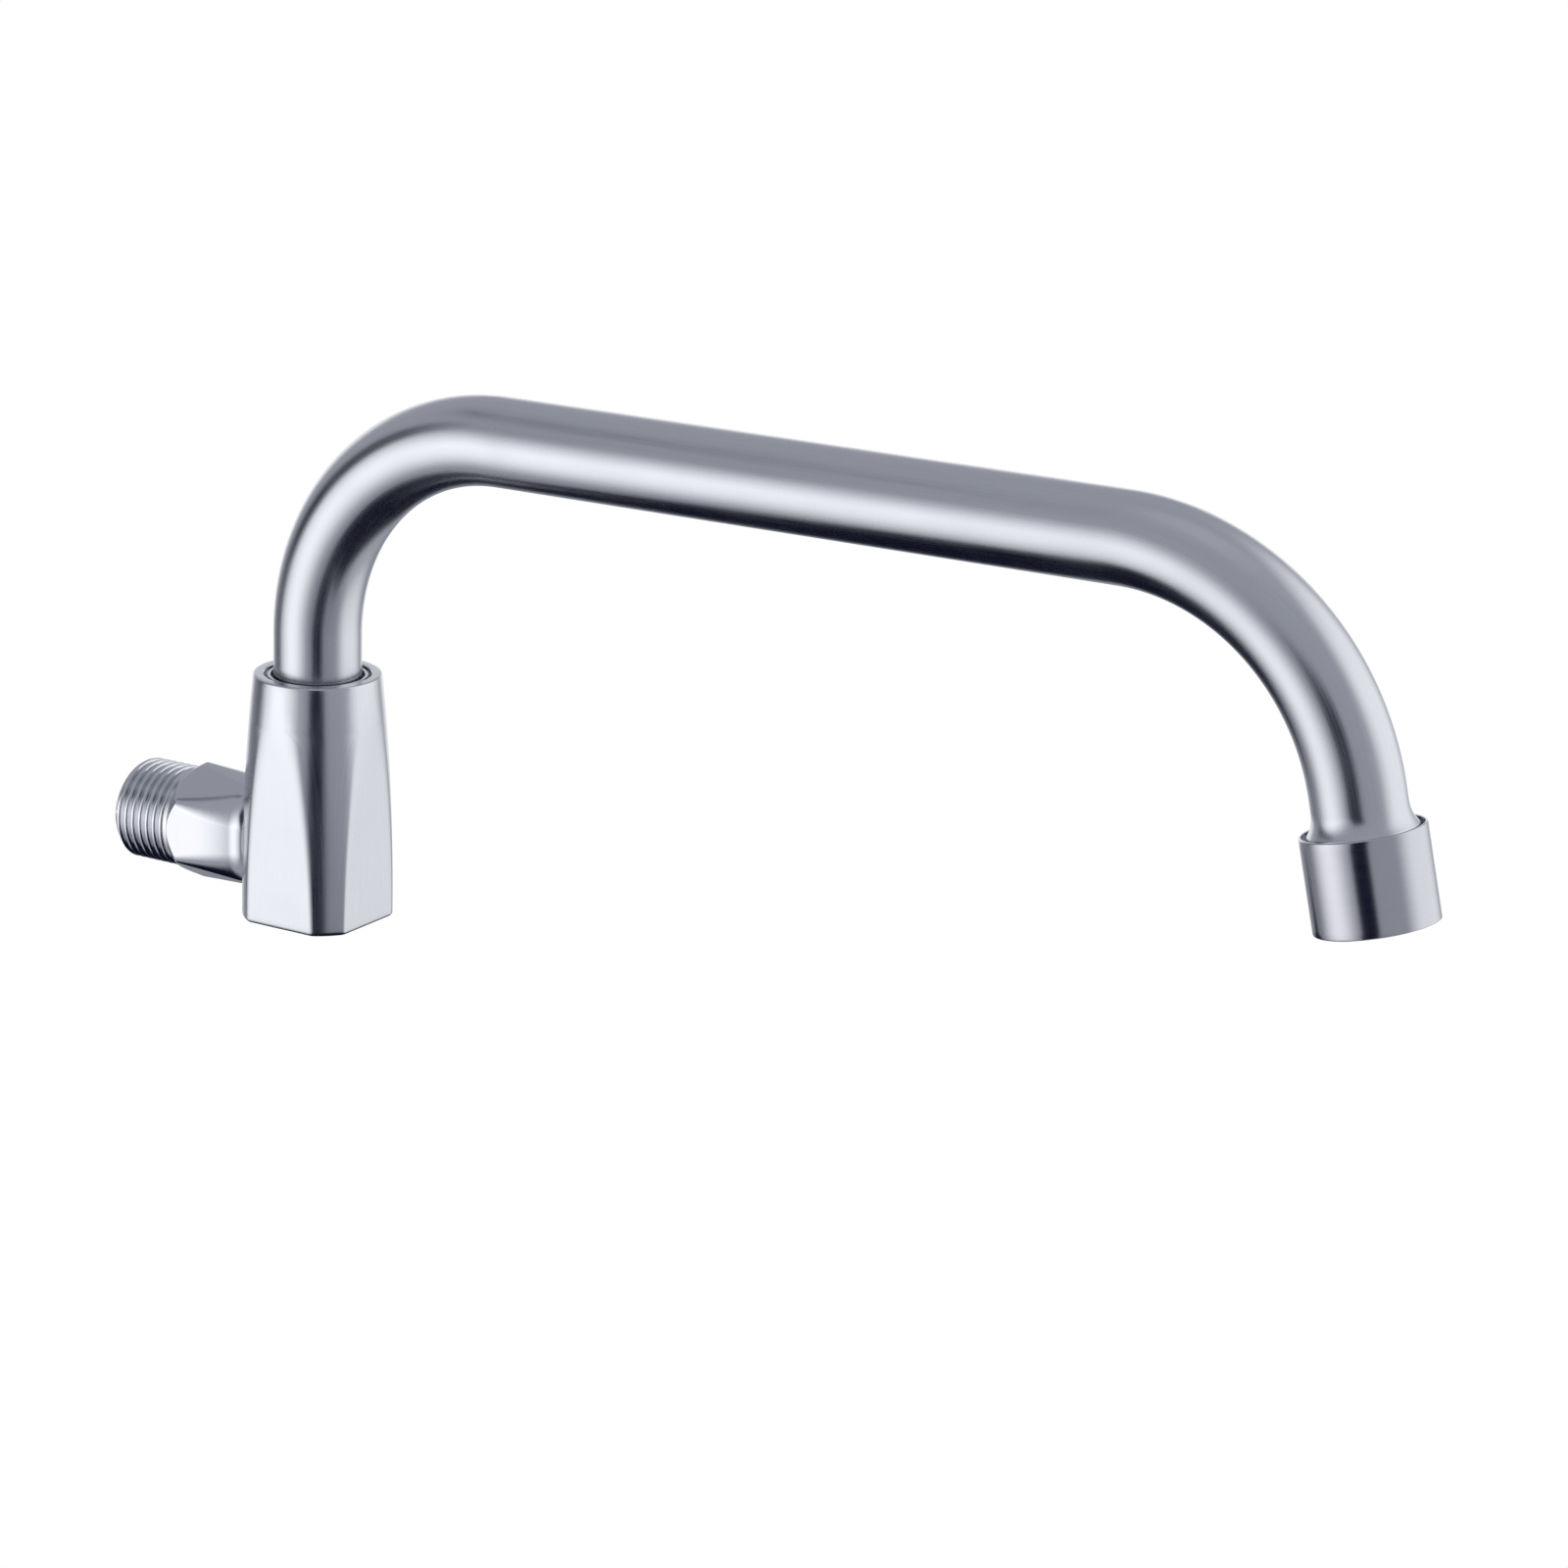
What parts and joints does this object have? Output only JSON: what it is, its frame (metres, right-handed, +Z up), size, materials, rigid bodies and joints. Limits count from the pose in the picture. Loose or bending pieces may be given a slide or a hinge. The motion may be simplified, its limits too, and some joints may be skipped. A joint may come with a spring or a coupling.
{
  "type": "wall-mounted cold water tap",
  "caption": "Wall-mounted single cold water tap: threaded elbow body with a swivelling tube spout and a screw-on aerator.",
  "frame": {"origin": "on the inlet's axis, in the middle of the plain land between the inlet thread and the hexagon", "axes": "+X away from the wall, along the inlet's axis and towards the spout's outlet; +Z up, parallel to the swivel axis; the spout lies in the XZ plane at rest"},
  "size_m": [0.2973, 0.0278, 0.1173],
  "materials": {
    "satin_steel": "satin stainless steel",
    "turned_steel": "turned stainless steel",
    "polished_steel": "polished",
    "black_acetal": "moulded",
    "white_acetal": "moulded",
    "grey_abs": "moulded",
    "seal_rubber": "matt"
  },
  "bodies": {
    "tap_body": {"body": "satin_steel", "gland_ring": "turned_steel", "guide_bush": "black_acetal", "upper_slip_washer": "white_acetal", "lower_slip_washer": "white_acetal"},
    "spout": {"spout_tube": "satin_steel", "spout_tail": "turned_steel", "lower_o_ring": "seal_rubber", "upper_o_ring": "seal_rubber", "guide_ring": "white_acetal", "outlet_nozzle": "satin_steel", "aerator_housing": "polished_steel", "aerator_washer": "seal_rubber", "aerator_cage": "grey_abs", "aerator_screen": "white_acetal", "aerator_jet_plate": "white_acetal", "aerator_upper_grid": "white_acetal", "aerator_lower_grid": "white_acetal", "aerator_honeycomb": "grey_abs"}
  },
  "joints": [
    {"name": "spout_swivel", "type": "hinge", "parent": "tap_body", "child": "spout", "pos_m": [0.03135, 0, 0.03645], "axis": [0, 0, 1], "range_deg": [-90, 90]}
  ]
}
